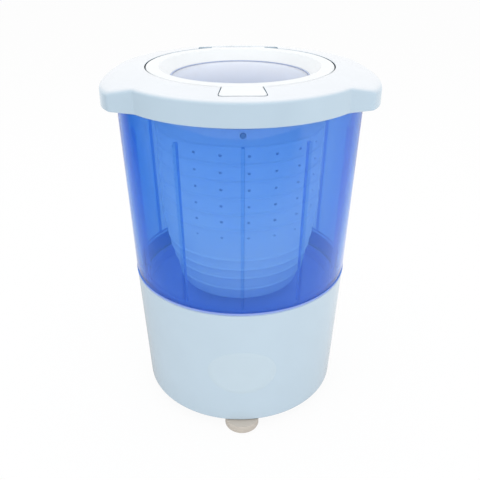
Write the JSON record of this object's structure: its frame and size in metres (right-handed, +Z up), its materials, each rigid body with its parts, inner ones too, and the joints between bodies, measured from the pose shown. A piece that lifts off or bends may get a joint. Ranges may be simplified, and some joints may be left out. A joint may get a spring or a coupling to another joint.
{
  "type": "spin dryer",
  "caption": "Table-top laundry spin dryer: a perforated drum on a motor shaft in a clear tub, with a motor base, an eared top cover and a hinged lid with a window.",
  "frame": {"origin": "on the floor, at the middle of the box round the part and under the drum's axis", "axes": "+Z up along the drum's axis, -Y to the front with the lid's lift tab, +X to the right as seen from the front"},
  "size_m": [0.27, 0.2568, 0.38],
  "materials": {
    "pale_blue_plastic": "moulded, satin gloss",
    "clear_blue_plastic": "clear tinted, polished",
    "white_plastic": "moulded, satin gloss",
    "clear_plastic": "clear, polished",
    "drum_plastic": "moulded, satin",
    "grey_plastic": "moulded, matt",
    "cream_rubber": "matt",
    "black_rubber": "matt",
    "bright_steel": "ground",
    "pressed_steel": "zinc plated",
    "cast_aluminium": "as cast",
    "laminated_steel": "laminated, dull"
  },
  "bodies": {
    "housing": {"base_shell": "pale_blue_plastic", "bottom_plate": "pale_blue_plastic", "foot_front": "cream_rubber", "foot_left": "cream_rubber", "foot_right": "cream_rubber", "tub": "clear_blue_plastic", "tub_floor": "grey_plastic", "tub_seal": "black_rubber", "drain_spout": "grey_plastic", "cord_gland": "black_rubber", "top_cover": "pale_blue_plastic", "throat_collar": "pale_blue_plastic", "lid_hinge_pin": "bright_steel", "catch_clip": "bright_steel", "lid_switch": "grey_plastic", "bearing_housing": "cast_aluminium", "upper_bearing": "bright_steel", "lower_bearing": "bright_steel", "shaft_seal": "black_rubber", "motor_plate": "pressed_steel", "motor_mount_rear": "black_rubber", "motor_mount_left": "black_rubber", "motor_mount_right": "black_rubber", "motor_lower_cap": "cast_aluminium", "motor_upper_cap": "cast_aluminium", "motor_stator": "laminated_steel", "run_capacitor": "grey_plastic"},
    "lid": {"lid_ring": "white_plastic", "lid_window": "clear_plastic", "lid_gasket": "black_rubber"},
    "drum": {"drum": "drum_plastic", "drum_rim": "drum_plastic", "drum_hub": "cast_aluminium", "hub_nut": "white_plastic", "drive_shaft": "bright_steel", "motor_rotor": "laminated_steel"},
    "plunger": {"switch_plunger": "white_plastic"}
  },
  "joints": [
    {"name": "lid_hinge", "type": "hinge", "parent": "housing", "child": "lid", "pos_m": [0, 0.0985, 0.3745], "axis": [-1, 0, 0], "range_deg": [0, 95]},
    {"name": "drum_spin", "type": "hinge", "parent": "housing", "child": "drum", "pos_m": [0, 0, 0.2], "axis": [0, 0, 1], "continuous": true},
    {"name": "plunger_travel", "type": "slide", "parent": "housing", "child": "plunger", "axis": [0, 0, 1], "range_m": [0, 0.003], "stiffness_N_per_m": 100, "springref_m": 0.006}
  ],
  "couplings": [
    {"joint": "plunger_travel", "follows": "lid_hinge", "m_per_rad": 0.0018}
  ]
}
